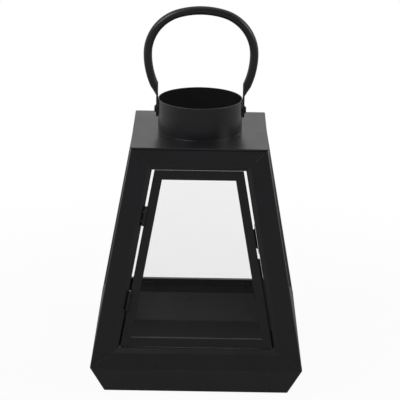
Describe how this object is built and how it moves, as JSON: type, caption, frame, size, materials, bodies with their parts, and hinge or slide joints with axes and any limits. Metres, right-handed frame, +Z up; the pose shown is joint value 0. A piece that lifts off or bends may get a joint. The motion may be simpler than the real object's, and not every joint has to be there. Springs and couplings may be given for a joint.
{
  "type": "candle lantern",
  "caption": "Pyramid-shaped black steel candle lantern with glazed sides, a hinged glass door, an open round chimney collar and a bent bar carrying handle that swings.",
  "frame": {"origin": "middle of the flat base, at the height it stands on", "axes": "+Z up through the chimney and the handle; the door faces -Y with its hinges on the -X side"},
  "size_m": [0.2162, 0.2162, 0.3837],
  "materials": {
    "black_steel": "satin",
    "clear_glass": "polished"
  },
  "bodies": {
    "lantern": {"base_tray": "black_steel", "corner_post_front_left": "black_steel", "corner_post_front_right": "black_steel", "corner_post_back_right": "black_steel", "corner_post_back_left": "black_steel", "bottom_rail_front": "black_steel", "bottom_rail_right": "black_steel", "bottom_rail_back": "black_steel", "bottom_rail_left": "black_steel", "top_rail_front": "black_steel", "top_rail_right": "black_steel", "top_rail_back": "black_steel", "top_rail_left": "black_steel", "top_plate": "black_steel", "collar": "black_steel", "handle_rivet_left": "black_steel", "handle_rivet_right": "black_steel", "handle_washer_left": "black_steel", "handle_washer_right": "black_steel", "glass_clips_right": "black_steel", "glass_clips_back": "black_steel", "glass_clips_left": "black_steel", "hinge_jamb_leaf_upper": "black_steel", "hinge_jamb_leaf_lower": "black_steel", "hinge_pin_upper": "black_steel", "hinge_pin_lower": "black_steel", "catch_spring": "black_steel", "door_stop": "black_steel", "glass_right": "clear_glass", "glass_back": "clear_glass", "glass_left": "clear_glass"},
    "handle": {"handle": "black_steel"},
    "door": {"door_stile_left": "black_steel", "door_stile_right": "black_steel", "door_top_rail": "black_steel", "door_bottom_rail": "black_steel", "door_glass": "clear_glass", "hinge_door_leaf_upper": "black_steel", "hinge_door_leaf_lower": "black_steel"}
  },
  "joints": [
    {"name": "handle_swing", "type": "hinge", "parent": "lantern", "child": "handle", "pos_m": [0, 0, 0.2758], "axis": [1, 0, 0], "range_deg": [-100, 100]},
    {"name": "door_swing", "type": "hinge", "parent": "lantern", "child": "door", "pos_m": [-0.05416, -0.07949, 0.18516], "axis": [-0.1729, -0.1729, -0.9696], "range_deg": [0, 150]}
  ]
}
